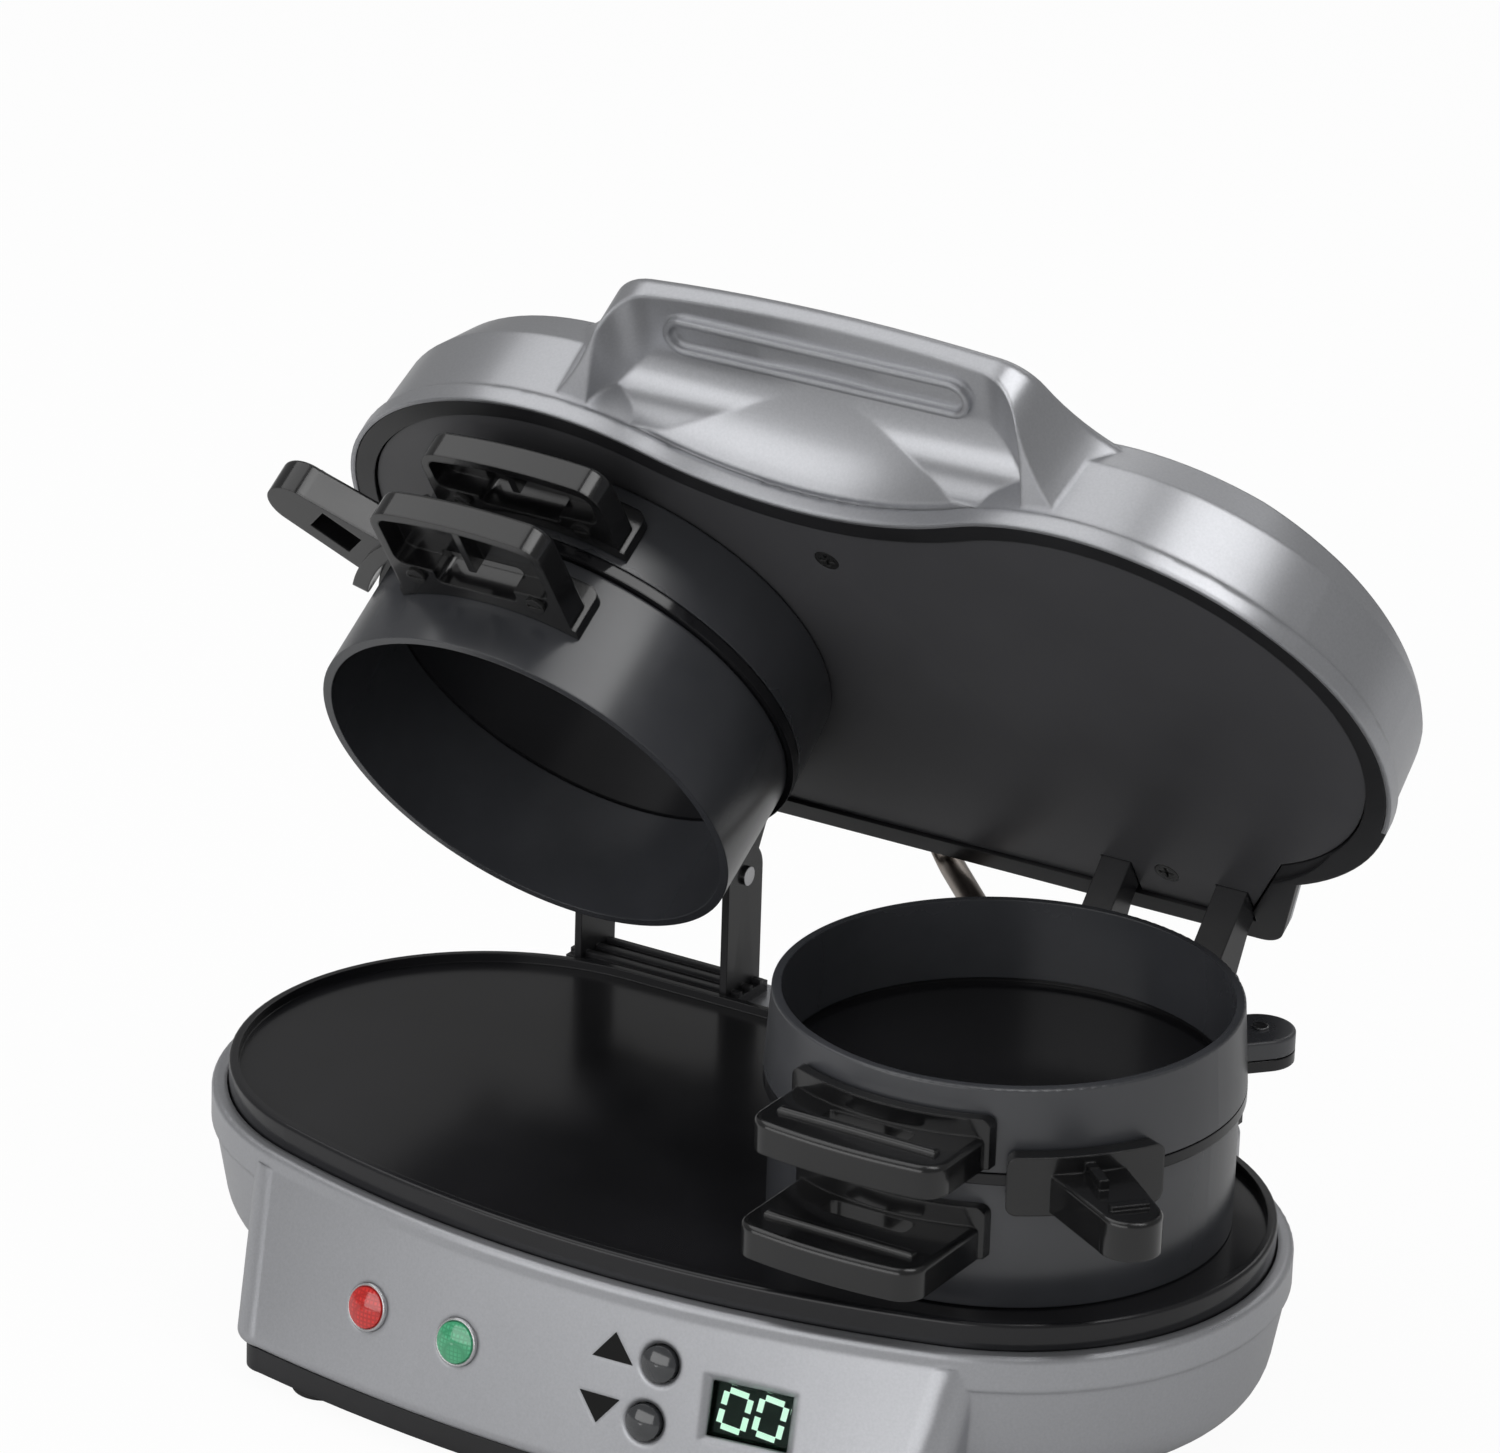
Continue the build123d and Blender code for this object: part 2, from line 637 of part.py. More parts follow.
def lid_roof(y):
    """Height of the lid's top at y."""
    return LID_TOP - math.tan(math.radians(LID_SLOPE)) * (y - LID_PEAK_Y)


def lid_handle():
    """Arched handle on the lid's front, its posts cut back to the sides."""
    grip = slab(handle_plan(), LIP_TOP, HANDLE_TOP)
    grip = fillet(grip.edges().group_by(Axis.Z)[-1].sort_by(Axis.Y)[:5], 3.0)
    (front_y, front_z), (foot_y, foot_z) = HANDLE_CUT
    lean = math.degrees(math.atan2(foot_z - front_z, foot_y - front_y))
    below = brick((-100, 100), (-60, 60), (-60, 0))
    return grip - Pos(0, front_y, front_z) * Rot(lean, 0, 0) * below


def lid_lip():
    """Rolled lip round the shell's lower edge, with the seat of the black frame."""
    lip = slab(lid_plan(0.0), LID_EDGE, LIP_TOP)
    top = lip.edges().group_by(Axis.Z)[-1]
    lip = fillet(top.filter_by(lambda edge: edge.center().Y < LID_REAR_Y / 2), 1.5)
    lip -= slab(lid_plan(-3.0), LID_EDGE - 1, LIP_TOP + 1)
    lip -= slab(lid_plan(-FRAME_LIP), LID_EDGE - 1, LID_EDGE + 3.4)
    return lip - (slab(lid_plan(1.0), LID_EDGE - 1, LID_EDGE + 3.4) & behind())


def lid_shell():
    """Silver shell: lip, leaning sides, crown, and the handle over its scoop."""
    body = lid_dome(0.0) + (lid_handle() - scoop()) - above_lid(0.0)
    body -= lid_dome(SHELL) - above_lid(SHELL)
    body += lid_lip()
    for x, y in PLATE_SCREWS:
        body += drum(3.8, TOP_UNDERSIDE + 2.6, lid_roof(y) - 1.2, x, y)
        body -= drum(1.6, TOP_UNDERSIDE, TOP_UNDERSIDE + 7, x, y)
    return body - conduit_notch() + grip_loop()


def behind():
    """Everything behind the line where the black frame becomes the edge."""
    return brick((-200, 200), (FRAME_OUT_Y, 200), (0, 100))


def conduit_notch():
    """Hole in the back of the shell and the frame for the tube."""
    wide = CONDUIT_R + 0.5
    return brick((CONDUIT_X - wide, CONDUIT_X + wide), (70.5, 95.0), (57.3, 64.9))


def scoop():
    """Finger space: a trough that follows the waist, and a pocket under the handle."""
    lobe_x, lobe_y, lobe_r = LOBE
    drop = lobe_y - WAIST_Y
    centre_y = WAIST_Y - (lobe_x ** 2 + drop ** 2 - lobe_r ** 2) / (2 * (lobe_r - drop))
    trough = Pos(0, centre_y, SCOOP_Z) * Torus(SCOOP_Y - centre_y, SCOOP_R)
    trough &= brick((-SCOOP_HALF, SCOOP_HALF), (-140, -50), (0, 120))
    pocket = brick((-POCKET_HALF, POCKET_HALF), (-50, POCKET_BACK - GRIP_Y), (-50, 0))
    rounded = [edge for edge in pocket.edges().group_by(Axis.Z)[-1]
               if edge.center().Y > -49]
    return trough + on_grip(fillet(rounded, POCKET_ROUND))


def on_grip(shape):
    """Place a shape on the tilted underside of the handle."""
    return Pos(0, GRIP_Y, GRIP_Z) * Rot(GRIP_TILT, 0, 0) * shape


def grip_loop():
    """Raised stadium-shaped rib on the underside of the handle."""
    long_half, short_half, width = 42.0, 5.2, 1.6
    outer = SlotOverall(2 * long_half, 2 * short_half)
    inner = SlotOverall(2 * (long_half - width), 2 * (short_half - width))
    return on_grip(Pos(0, 0, -1.8) * extrude(outer.face() - inner.face(), 3.6))


def lid_frame():
    """Black frame round the top plate, the lid's outer edge along the hinge."""
    low, high = LID_EDGE + 0.2, LID_EDGE + 2.8
    ring = slab(lid_plan(-FRAME_LIP - 0.2), low, high)
    ring += slab(lid_plan(0.0), low, high) & behind()
    ring -= slab(lid_plan(TOP_PLATE_IN + GAP), 0, 100)
    ring -= both(drum(RIM_R + 1.0, 0, RING_TOP + 0.25, RING_X))
    for span in (ARM_IN, ARM_OUT):
        ring -= both(brick((span[0] - 0.3, span[1] + 0.3), (50, 69.2), (0, 100)))
    return lifted(ring - conduit_notch())


def top_plate():
    """Cast top plate, its cooking face down."""
    plate = slab(lid_plan(TOP_PLATE_IN), RING_TOP + GAP, RING_TOP + 5.4)
    plate -= slab(lid_plan(TOP_PLATE_IN - 5.0), TOP_UNDERSIDE, 90)
    for span in (ARM_IN, ARM_OUT):
        plate -= both(brick((span[0] - 0.3, span[1] + 0.3), (58.3, 90), (40, 90)))
    for x, y in PLATE_SCREWS:
        plate -= drum(3.3, RING_TOP, RING_TOP + GAP + 1.4, x, y)
        plate -= drum(1.7, RING_TOP, 90, x, y)
    return lifted(plate)


def top_element():
    heater = Rot(180, 0, 0) * ring_element(ELEMENT_R, 0, RING_X)
    heater = Pos(0, 0, TOP_UNDERSIDE + TUBE_R + 0.1) * heater
    return Compound(children=[lifted(heater), lifted(flipped(heater))])


def plate_screws():
    """Cross-head screws through the top plate into the shell's bosses."""
    screws = []
    face = RING_TOP + GAP
    for x, y in PLATE_SCREWS:
        screw = drum(3.2, face, face + 1.3, x, y) + drum(1.5, face + 1.3, face + 9.0, x, y)
        screw -= brick((x - 2, x + 2), (y - 0.4, y + 0.4), (RING_TOP, face + 0.7))
        screw -= brick((x - 0.4, x + 0.4), (y - 2, y + 2), (RING_TOP, face + 0.7))
        screws.append(lifted(screw))
    return Compound(children=screws)


# ---- rings --------------------------------------------------------------
def ring_arm(span, z_low, z_high):
    """Arm from a ring's back wall to its knuckle on the hinge rod."""
    low, high = span
    arm = brick(span, (44.0, HINGE_Y), (z_low, z_high))
    return arm + along_x(KNUCKLE_R, low, high)


def lower_ring():
    low, high = GAP, SEAM_Z - PLATE_T - GAP
    ring = drum(LOWER_R, low, high, RING_X)
    for span in LOW_KNUCKLES:
        ring += ring_arm(span, high - 8.0, high - 0.2)
    ring -= drum(LOWER_R - WALL, -20, 90, RING_X)
    return ring - along_x(ROD_R + RUN, 20, 120)


def upper_ring():
    low = SEAM_Z + GAP
    cone = Cone(SEAM_R, RIM_R, RING_TOP - low)
    ring = Pos(RING_X, 0, (low + RING_TOP) / 2) * cone
    ring = fillet(ring.edges().group_by(Axis.Z)[-1], 0.6)
    ring += ring_arm(UP_KNUCKLE, low, low + 8.0)
    pivot = around(RING_X, 0, PIVOT_DIST, PIVOT_ANGLE)
    ear = drum(EAR_R, low, low + 4.6, *pivot)
    ear += ear_web(low, low + 4.6)
    ring += fillet(ear.edges().group_by(Axis.Z)[-1], 0.8)
    ring -= drum(RIM_R - WALL, -20, 90, RING_X)
    ring -= along_x(ROD_R + RUN, 20, 120)
    return ring - drum(PIVOT_R, 0, 90, *pivot)


def ear_web(low, high):
    """Straight neck from the ring wall out to the pivot ear."""
    neck = brick((40.0, PIVOT_DIST), (-EAR_R, EAR_R), (low, high))
    return Pos(RING_X, 0, 0) * Rot(0, 0, PIVOT_ANGLE) * neck


def cooking_plate():
    """Swing-out plate between the rings, with its pivot ear."""
    low = SEAM_Z - PLATE_T
    plate = drum(SEAM_R, low, SEAM_Z, RING_X)
    plate -= drum(SEAM_R - 2.6, low + 1.8, 90, RING_X)
    pivot = around(RING_X, 0, PIVOT_DIST, PIVOT_ANGLE)
    ear = drum(EAR_R, low, SEAM_Z, *pivot) + ear_web(low, SEAM_Z)
    plate += ear - drum(SEAM_R - 2.0, 0, 90, RING_X)
    plate += Pos(RING_X, 0, 0) * Rot(0, 0, GRIP_ANGLE) * lever_tab(0.0)
    return plate - drum(PIVOT_R + RUN, 0, 90, *pivot)


def sector(half_angle):
    """Tall wedge about the +X direction, to cut a curved piece to length."""
    reach = 90.0
    outline = Polyline((0, 0), around(0, 0, reach, -half_angle),
                       around(0, 0, reach, half_angle), close=True)
    return extrude(make_face(outline), 100, both=True)


def lever_tab(grow):
    """Tab on the cooking plate's edge that the lever's flange is moulded over."""
    band = tube(SEAM_R + 3.0 + grow, SEAM_R - 1.0, SEAM_Z - PLATE_T - grow, SEAM_Z + grow)
    return band & sector(10 + grow)


def pivot_pin():
    pivot = around(RING_X, 0, PIVOT_DIST, PIVOT_ANGLE)
    low = SEAM_Z - PLATE_T
    return drum(PIVOT_R, low - 0.5, SEAM_Z + 5.5, *pivot)


def grip_plan(half, front, inset):
    """Plan of a ring handle's grip: bowed front edge, straight sides."""
    side = half - inset
    nose, shoulder = front + inset, front + PADDLE_BOW + inset
    back = -38.0
    return make_face([
        ThreePointArc((-side, shoulder), (0, nose), (side, shoulder)),
        Line((side, shoulder), (side, back)),
        Line((side, back), (-side, back)),
        Line((-side, back), (-side, shoulder)),
    ])


def paddle(size, wall_r, flange_rise):
    """Ring handle: flange on the ring wall and a flat grip, hollow below."""
    front, top, thick, half = size
    inner = wall_r + 0.15
    grip = slab(grip_plan(half, front, 0.0), top - thick, top)
    grip = fillet(grip.edges().filter_by(Axis.Z).sort_by(Axis.Y)[:2], 6.5)
    grip = fillet(grip.edges().group_by(Axis.Z)[-1].sort_by(Axis.Y)[:-1], 1.6)
    pocket = slab(grip_plan(half, front, 2.4), top - thick - 1, top - 2.6)
    pocket &= brick((-half, half), (-100, -64.0), (0, 60))
    grip -= fillet(pocket.edges().filter_by(Axis.Z), 3.0)
    grip += brick((-1.0, 1.0), (front + 1, -63.0), (top - thick + 1.2, top - 1))
    flange = tube(wall_r + 3.0, inner, top - thick, top + flange_rise)
    flange &= brick((-half - 1.0, half + 1.0), (-80, -40), (top - thick, top + flange_rise))
    ends = flange.edges().filter_by(Axis.Y).group_by(Axis.Z)[-1]
    grip += fillet(ends, 2.5)
    ridge = brick((-half + 4.5, half - 4.5), (front + 8.5, front + 11.0), (top - 1, top + 1.2))
    grip += fillet(ridge.edges().group_by(Axis.Z)[-1], 0.8)
    slot = Pos(0, -wall_r - 7.2, top) * extrude(RectangleRounded(23, 6.4, 1.6).face(), 8,
                                                both=True)
    grip -= slot
    return Pos(RING_X, 0, 0) * (grip - drum(inner, -20, 90))


def paddle_screws(top, thick):
    screws = []
    half, y = PADDLE_SCREW
    low = top - thick
    for x in (RING_X - half, RING_X + half):
        head = drum(2.6, low - 1.0, low, x, y)
        head -= brick((x - 1.8, x + 1.8), (y - 0.4, y + 0.4), (low - 1.1, low - 0.4))
        screws.append(head)
    return screws


def lever():
    """Cooking plate grip: curved flange across the seam and a tapered lever."""
    inner = SEAM_R + 0.5
    flange = tube(inner + 4.2, inner, 27.0, 41.8)
    flange = flange & sector(18)
    corners = flange.edges().filter_by(GeomType.LINE).filter_by(
        lambda edge: edge.bounding_box().size.Z < 1)
    flange = fillet(corners, 2.6)
    root, tip, bend = inner + 2.0, 83.5, 2.6
    outline = Polyline((root, -9.5), (tip, bend - 7.4), (tip, bend + 7.4), (root, 9.5),
                       close=True)
    arm = slab(make_face(outline), 28.0, 37.5) + drum(7.4, 28.0, 37.5, tip, bend)
    arm = fillet(arm.edges().group_by(Axis.Z)[-1], 1.2)
    nub = brick((tip - 3.0, tip - 0.4), (bend - 4.6, bend + 4.6), (37.0, 38.6))
    web = brick((inner + 3, 72.0), (-1.2, 1.2), (37.0, 40.0))
    grip = flange + arm + nub + web
    grip -= brick((inner + 8, tip - 6), (-3.8, 5.4), (26.0, 34.5))
    grip -= lever_tab(0.05)
    return Pos(RING_X, 0, 0) * Rot(0, 0, GRIP_ANGLE) * grip


# ---- conduit ------------------------------------------------------------
def conduit_tube():
    """Steel wiring tube: leaves the lid's back and pivots on the hinge axis."""
    route = FilletPolyline((CONDUIT_X, 71.0, 61.3), (CONDUIT_X, CONDUIT_OUT, 60.7),
                           (CONDUIT_FOOT, HINGE_Y, HINGE_Z),
                           (CONDUIT_END, HINGE_Y, HINGE_Z), radius=CONDUIT_BEND)
    start = Plane(origin=route @ 0, z_dir=route % 0)
    solid = sweep(start * Circle(CONDUIT_R), route)
    bore = sweep(start * Circle(CONDUIT_R - 0.8), route)
    return lifted(solid - bore)


def conduit_bush():
    """Upright on the hinge block that the tube's end turns in."""
    half = CONDUIT_R + 3.0
    body = brick(BUSH, (HINGE_Y - half, HINGE_Y + half), (REAR_TOP, HINGE_Z))
    body += along_x(half, *BUSH)
    body -= along_x(CONDUIT_R + RUN, BUSH[0] - 5, CONDUIT_END + 0.4)
    return body - drum(3.0, REAR_TOP - 1, HINGE_Z, WIRE_X, HINGE_Y)


# ---- fasteners ----------------------------------------------------------
def cover_screws():
    screws = []
    low = BOWL_LOW - GAP - 2.4
    for x, y in COVER_SCREWS:
        screw = drum(2.8, low - 1.8, low, x, y) + drum(1.35, low, BOWL_LOW + 12, x, y)
        screw -= brick((x - 2, x + 2), (y - 0.4, y + 0.4), (low - 2, low - 1.0))
        screws += [screw, flipped(screw)]
    return Compound(children=screws)


def write_side(side, place):
    """One side's rings, cooking plate, handles and pins."""
    pieces = {
        "lower_ring": lower_ring(),
        "lower_handle": paddle(LOW_PADDLE, LOWER_R, 5.0),
        "upper_ring": upper_ring(),
        "upper_handle": paddle(UP_PADDLE, SEAM_R, 4.6),
        "cooking_plate": cooking_plate(),
        "cooking_plate_handle": lever(),
        "pivot_pin": pivot_pin(),
    }
    for name, shape in pieces.items():
        save(f"{side}_{name}", place(shape))
    for name, size in {"lower": LOW_PADDLE, "upper": UP_PADDLE}.items():
        heads = [place(head) for head in paddle_screws(size[1], size[2])]
        save(f"{side}_{name}_handle_screws", Compound(children=heads))


def write_all():
    save("base_housing", base_housing())
    save("base_bottom_cover", bottom_cover())
    save("rubber_feet", rubber_feet())
    save("bottom_heating_plate", bottom_plate())
    save("bottom_heating_elements", bottom_element())
    save("thermostat", thermostat())
    save("thermal_fuse", thermal_fuse())
    save("terminal_block", terminal_block())
    save("control_board", control_board())
    save("board_relay_and_transformer", board_parts())
    save("indicator_lamps", indicator_lamps())
    save("power_lens", lens(LAMP_SPOTS[0]))
    save("ready_lens", lens(LAMP_SPOTS[1]))
    save("lens_bezels", lens_bezels())
    save("up_button", button(UP_KEY))
    save("down_button", button(DOWN_KEY))
    save("button_switches", key_switches())
    save("arrow_marks", arrow_marks())
    save("display_module", display_module())
    save("display_window", display_window())
    save("display_digits", seven_segments())
    save("cord_gland", cord_gland())
    save("cover_screws", cover_screws())
    save("right_hinge_bracket", hinge_bracket())
    save("left_hinge_bracket", flipped(hinge_bracket()))
    save("right_hinge_rod", hinge_rod())
    save("left_hinge_rod", flipped(hinge_rod()))
    save("conduit_bush", conduit_bush())
    save("conduit_tube", conduit_tube())
    save("lid_shell", lifted(lid_shell()))
    save("lid_frame", lid_frame())
    save("lid_hinge_arms", lid_arms())
    save("top_heating_plate", top_plate())
    save("top_heating_elements", top_element())
    save("plate_screws", plate_screws())
    write_side("right", lambda shape: shape)
    write_side("left", lambda shape: lifted(flipped(shape)))


write_all()
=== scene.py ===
import bpy
import json
import math
from mathutils import Matrix, Vector

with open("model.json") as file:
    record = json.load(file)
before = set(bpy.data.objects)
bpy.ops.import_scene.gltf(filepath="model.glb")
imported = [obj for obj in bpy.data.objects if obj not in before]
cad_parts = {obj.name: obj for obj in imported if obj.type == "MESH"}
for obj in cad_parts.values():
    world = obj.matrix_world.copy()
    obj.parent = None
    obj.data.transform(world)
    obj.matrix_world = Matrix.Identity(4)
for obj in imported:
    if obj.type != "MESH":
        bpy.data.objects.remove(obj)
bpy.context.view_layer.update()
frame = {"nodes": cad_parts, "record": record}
nodes = frame["nodes"]
scene = bpy.context.scene

# ---- camera -------------------------------------------------------------
CAMERA_SPOT = (0.87914, -1.48146, 0.86174)
CAMERA_AZIMUTH = 30.88       # degrees to the right of straight ahead
CAMERA_ELEVATION = 22.09
CAMERA_ROLL = 1.81
CAMERA_LENS = 187.27         # mm
SENSOR_WIDTH = 36.0          # mm
CAMERA_REACH = 20.0          # metres


def add_camera():
    azimuth = math.radians(CAMERA_AZIMUTH)
    elevation = math.radians(CAMERA_ELEVATION)
    roll = math.radians(CAMERA_ROLL)
    ahead = Vector((-math.sin(azimuth) * math.cos(elevation),
                    math.cos(azimuth) * math.cos(elevation), -math.sin(elevation)))
    level = Vector((math.cos(azimuth), math.sin(azimuth), 0.0))
    upright = level.cross(ahead)
    right = level * math.cos(roll) + upright * math.sin(roll)
    up = upright * math.cos(roll) - level * math.sin(roll)
    data = bpy.data.cameras.new("camera")
    data.lens = CAMERA_LENS
    data.sensor_width = SENSOR_WIDTH
    data.sensor_fit = "HORIZONTAL"
    data.clip_end = CAMERA_REACH
    camera = bpy.data.objects.new("camera", data)
    turn = Matrix((right, up, -ahead)).transposed().to_4x4()
    camera.matrix_world = Matrix.Translation(CAMERA_SPOT) @ turn
    scene.collection.objects.link(camera)
    scene.camera = camera


# ---- node helpers -------------------------------------------------------
EDGE_START, EDGE_FULL = 0.52, 0.62       # how sharp an edge wears, and wears fully
MASK_LOW, MASK_HIGH = 0.3, 0.7           # where most of a noise mask lies


def new_material(name):
    material = bpy.data.materials.new(name)
    material.use_nodes = True
    tree = material.node_tree
    shader = tree.nodes["Principled BSDF"]
    return material, tree, shader


def link(tree, source, target):
    tree.links.new(source, target)


def group_node(tree, group, **values):
    node = tree.nodes.new("ShaderNodeGroup")
    node.node_tree = group
    for name, value in values.items():
        node.inputs[name.replace("_", " ")].default_value = value
    return node


def add_socket(group, name, direction, kind="NodeSocketFloat", default=None):
    socket = group.interface.new_socket(name=name, in_out=direction, socket_type=kind)
    if default is not None:
        socket.default_value = default
    return socket


def make_surface_group():
    """Grain, soft mottling and edge wear, in the object's own space."""
    group = bpy.data.node_groups.new("surface detail", "ShaderNodeTree")
    add_socket(group, "Grain Scale", "INPUT", default=900.0)
    add_socket(group, "Mottle Scale", "INPUT", default=25.0)
    add_socket(group, "Wear", "INPUT", default=0.3)
    add_socket(group, "Grain", "OUTPUT")
    add_socket(group, "Mottle", "OUTPUT")
    add_socket(group, "Edge", "OUTPUT")
    enter = group.nodes.new("NodeGroupInput")
    leave = group.nodes.new("NodeGroupOutput")
    place = group.nodes.new("ShaderNodeTexCoord")
    grain = group.nodes.new("ShaderNodeTexNoise")
    grain.inputs["Detail"].default_value = 3.0
    grain.inputs["Roughness"].default_value = 0.6
    mottle = group.nodes.new("ShaderNodeTexNoise")
    mottle.inputs["Detail"].default_value = 4.0
    geometry = group.nodes.new("ShaderNodeNewGeometry")
    edge = group.nodes.new("ShaderNodeMapRange")
    edge.inputs["From Min"].default_value = EDGE_START
    edge.inputs["From Max"].default_value = EDGE_FULL
    worn = group.nodes.new("ShaderNodeMath")
    worn.operation = "MULTIPLY"
    broken = group.nodes.new("ShaderNodeMath")
    broken.operation = "MULTIPLY"
    link(group, place.outputs["Object"], grain.inputs["Vector"])
    link(group, place.outputs["Object"], mottle.inputs["Vector"])
    link(group, enter.outputs["Grain Scale"], grain.inputs["Scale"])
    link(group, enter.outputs["Mottle Scale"], mottle.inputs["Scale"])
    link(group, geometry.outputs["Pointiness"], edge.inputs["Value"])
    link(group, edge.outputs["Result"], worn.inputs[0])
    link(group, enter.outputs["Wear"], worn.inputs[1])
    link(group, worn.outputs["Value"], broken.inputs[0])
    link(group, mottle.outputs["Fac"], broken.inputs[1])
    link(group, grain.outputs["Fac"], leave.inputs["Grain"])
    link(group, mottle.outputs["Fac"], leave.inputs["Mottle"])
    link(group, broken.outputs["Value"], leave.inputs["Edge"])
    return group


surface_group = make_surface_group()


def spread(tree, source, low, high):
    """Stretch the usual range of a noise mask to low..high."""
    node = tree.nodes.new("ShaderNodeMapRange")
    node.inputs["From Min"].default_value = MASK_LOW
    node.inputs["From Max"].default_value = MASK_HIGH
    node.inputs["To Min"].default_value = low
    node.inputs["To Max"].default_value = high
    link(tree, source, node.inputs["Value"])
    return node.outputs["Result"]


def two_colours(tree, mask, first, second):
    """Blend from the first colour to the second where the mask rises."""
    node = tree.nodes.new("ShaderNodeMix")
    node.data_type = "RGBA"
    colour_in = [s for s in node.inputs if s.type == "RGBA"]
    colour_in[0].default_value = (*first, 1.0)
    colour_in[1].default_value = (*second, 1.0)
    link(tree, mask, node.inputs["Factor"])
    return [s for s in node.outputs if s.type == "RGBA"][0]


def finish_material(name, dark, light, rough, grain=900.0, mottle=25.0, bump=0.1,
                    bump_depth=0.00004, metallic=0.0, wear=0.3, coat=0.0,
                    coat_rough=0.15, round_edge=0.0005, level=0.5, mix_grain=False):
    """Two close shades mixed by mottling or grain, roughness range, bump, round edges."""
    material, tree, shader = new_material(name)
    detail = group_node(tree, surface_group, Grain_Scale=grain, Mottle_Scale=mottle,
                        Wear=wear)
    mask = detail.outputs["Grain" if mix_grain else "Mottle"]
    colour = two_colours(tree, spread(tree, mask, 0.0, 1.0), dark, light)
    link(tree, colour, shader.inputs["Base Color"])
    low, high = rough
    shade = spread(tree, detail.outputs["Mottle"], low, high)
    polish = tree.nodes.new("ShaderNodeMath")
    polish.operation = "SUBTRACT"
    link(tree, shade, polish.inputs[0])
    link(tree, detail.outputs["Edge"], polish.inputs[1])
    link(tree, polish.outputs["Value"], shader.inputs["Roughness"])
    bumps = tree.nodes.new("ShaderNodeBump")
    bumps.inputs["Strength"].default_value = bump
    bumps.inputs["Distance"].default_value = bump_depth
    link(tree, detail.outputs["Grain"], bumps.inputs["Height"])
    if round_edge:
        edge = tree.nodes.new("ShaderNodeBevel")
        edge.inputs["Radius"].default_value = round_edge
        link(tree, edge.outputs["Normal"], bumps.inputs["Normal"])
    link(tree, bumps.outputs["Normal"], shader.inputs["Normal"])
    shader.inputs["Metallic"].default_value = metallic
    shader.inputs["Specular IOR Level"].default_value = level
    shader.inputs["Coat Weight"].default_value = coat
    shader.inputs["Coat Roughness"].default_value = coat_rough
    return material, tree, shader


# ---- materials ----------------------------------------------------------
silver, _, _ = finish_material(
    "silver metallic paint", (0.440, 0.446, 0.468), (0.485, 0.492, 0.515), (0.28, 0.34),
    grain=1500.0, mottle=14.0, bump=0.06, bump_depth=0.00002, metallic=0.72,
    wear=0.1, coat=0.2, coat_rough=0.12, round_edge=0.0016, mix_grain=True)
ring_black, _, _ = finish_material(
    "satin charcoal coating", (0.040, 0.042, 0.047), (0.052, 0.054, 0.061),
    (0.29, 0.37), grain=1100.0, mottle=40.0, bump=0.15, bump_depth=0.00004,
    wear=0.15, level=0.9)
nonstick, _, _ = finish_material(
    "black non-stick coating", (0.009, 0.009, 0.010), (0.014, 0.014, 0.016),
    (0.16, 0.24), grain=1500.0, mottle=18.0, bump=0.10, bump_depth=0.00003, wear=0.2)
top_coating, _, _ = finish_material(
    "satin grey plate coating", (0.060, 0.060, 0.064), (0.074, 0.074, 0.079),
    (0.38, 0.48), grain=1500.0, mottle=18.0, bump=0.10, bump_depth=0.00003, wear=0.2)
handle_black, _, _ = finish_material(
    "black moulded handle", (0.005, 0.005, 0.0055), (0.009, 0.009, 0.0095),
    (0.19, 0.26), grain=900.0, mottle=60.0, bump=0.10, bump_depth=0.00004, wear=0.1,
    coat=0.5, coat_rough=0.08, round_edge=0.0008)
satin_black, _, _ = finish_material(
    "satin black moulding", (0.012, 0.012, 0.013), (0.018, 0.018, 0.020),
    (0.38, 0.50), grain=900.0, mottle=30.0, bump=0.2, wear=0.15)
hinge_black, _, _ = finish_material(
    "black hinge paint", (0.018, 0.018, 0.020), (0.030, 0.030, 0.032), (0.36, 0.48),
    grain=800.0, mottle=50.0, bump=0.2, wear=0.35)
steel, _, _ = finish_material(
    "browned steel tube", (0.32, 0.27, 0.23), (0.50, 0.45, 0.41), (0.28, 0.40),
    grain=500.0, mottle=70.0, bump=0.1, metallic=1.0, wear=0.3)
plain_steel, _, _ = finish_material(
    "plain steel", (0.42, 0.42, 0.43), (0.55, 0.55, 0.56), (0.25, 0.38), grain=900.0,
    mottle=90.0, bump=0.1, metallic=1.0, wear=0.2)
dark_steel, _, _ = finish_material(
    "blackened screw steel", (0.03, 0.03, 0.03), (0.06, 0.06, 0.06), (0.3, 0.42),
    grain=900.0, mottle=120.0, bump=0.1, metallic=0.6)
heater_steel, _, _ = finish_material(
    "heater sheath", (0.14, 0.13, 0.12), (0.24, 0.22, 0.21), (0.45, 0.6), metallic=0.9,
    mottle=120.0)
pale_moulding, _, _ = finish_material(
    "pale ceramic moulding", (0.42, 0.38, 0.32), (0.52, 0.48, 0.41), (0.55, 0.7),
    grain=400.0)
rubber, _, _ = finish_material(
    "foot rubber", (0.018, 0.018, 0.018), (0.03, 0.03, 0.03), (0.7, 0.85), grain=600.0,
    bump=0.4, wear=0.0)
board_green, _, _ = finish_material(
    "circuit board", (0.015, 0.10, 0.05), (0.025, 0.15, 0.08), (0.3, 0.4), grain=300.0)
component_black, _, _ = finish_material(
    "electronic parts", (0.02, 0.02, 0.022), (0.035, 0.035, 0.038), (0.45, 0.6))
clear_resin, _, _ = finish_material(
    "lamp resin", (0.72, 0.72, 0.68), (0.8, 0.8, 0.77), (0.1, 0.2))
bezel, _, _ = finish_material(
    "pale lens ring", (0.52, 0.52, 0.53), (0.62, 0.62, 0.63), (0.18, 0.26),
    grain=1200.0, bump=0.05, metallic=0.8, coat=0.5)
